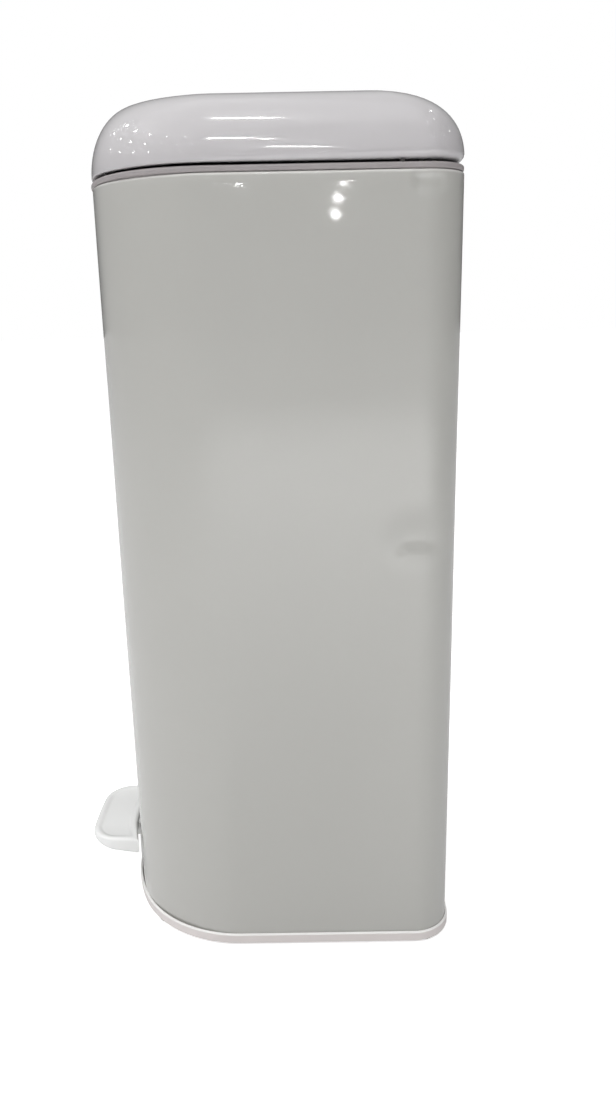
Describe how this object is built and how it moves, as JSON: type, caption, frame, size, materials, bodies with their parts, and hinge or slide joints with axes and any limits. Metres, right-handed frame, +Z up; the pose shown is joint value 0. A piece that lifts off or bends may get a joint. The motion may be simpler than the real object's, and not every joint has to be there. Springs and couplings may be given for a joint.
{
  "type": "pedal trash can",
  "caption": "Tall slim step bin: painted steel sleeve with bowed front, domed lid on a rear hinge opened by a foot pedal through a lever and push rod, removable inner bucket.",
  "frame": {"origin": "centre of the bounding box on the floor, under the feet", "axes": "+Z up, -Y towards the pedal (front), +Y towards the hinge, X across the width"},
  "size_m": [0.244, 0.3246, 0.659],
  "materials": {
    "sleeve_paint": "gloss paint",
    "base_plastic": "satin moulded",
    "collar_plastic": "satin moulded",
    "lid_plastic": "high gloss",
    "pedal_plastic": "gloss moulded",
    "bracket_plastic": "moulded",
    "black_plastic": "moulded",
    "bucket_plastic": "fine texture",
    "nylon": "natural nylon",
    "foot_rubber": "matt",
    "zinc_steel": "zinc plated",
    "bright_steel": "drawn bright"
  },
  "bodies": {
    "bin": {"body_shell": "sleeve_paint", "base_tray": "base_plastic", "foot_pads": "foot_rubber", "base_screws": "zinc_steel", "slot_trim": "pedal_plastic", "collar_ring": "collar_plastic", "lid_bumpers": "foot_rubber", "hinge_housing": "collar_plastic", "hinge_pin": "bright_steel", "hinge_screws": "zinc_steel", "rod_rail": "black_plastic", "damper_cylinder": "black_plastic", "damper_cap": "nylon", "pivot_pin": "bright_steel", "pivot_clips": "zinc_steel"},
    "lid": {"lid_shell": "lid_plastic", "lid_bracket": "bracket_plastic", "lid_screws": "zinc_steel"},
    "pedal": {"pedal_cover": "pedal_plastic", "pedal_lever": "zinc_steel", "pivot_bush": "nylon", "pedal_screws": "zinc_steel"},
    "rod": {"push_rod": "bright_steel", "rod_cap": "nylon", "damper_link": "zinc_steel", "damper_piston": "bright_steel"},
    "bucket": {"inner_bucket": "bucket_plastic"},
    "bail": {"bail_handle": "bright_steel", "bail_grip": "black_plastic"}
  },
  "joints": [
    {"name": "lid_hinge", "type": "hinge", "parent": "bin", "child": "lid", "pos_m": [0, 0.1582, 0.6035], "axis": [-1, 0, 0], "range_deg": [0, 78]},
    {"name": "pedal_pivot", "type": "hinge", "parent": "bin", "child": "pedal", "pos_m": [0, -0.0088, 0.033], "axis": [1, 0, 0], "range_deg": [0, 9.64]},
    {"name": "rod_slide", "type": "slide", "parent": "bin", "child": "rod", "axis": [0, 0, 1], "range_m": [0, 0.02517]},
    {"name": "bucket_lift", "type": "slide", "parent": "bin", "child": "bucket", "axis": [0, 0, 1], "range_m": [0, 0.0065]},
    {"name": "bail_swing", "type": "hinge", "parent": "bucket", "child": "bail", "pos_m": [0, 0.0057, 0.58955], "axis": [1, 0, 0], "range_deg": [0, 28]}
  ],
  "couplings": [
    {"joint": "pedal_pivot", "follows": "lid_hinge", "ratio": 0.12363},
    {"joint": "rod_slide", "follows": "lid_hinge", "m_per_rad": 0.018491}
  ]
}
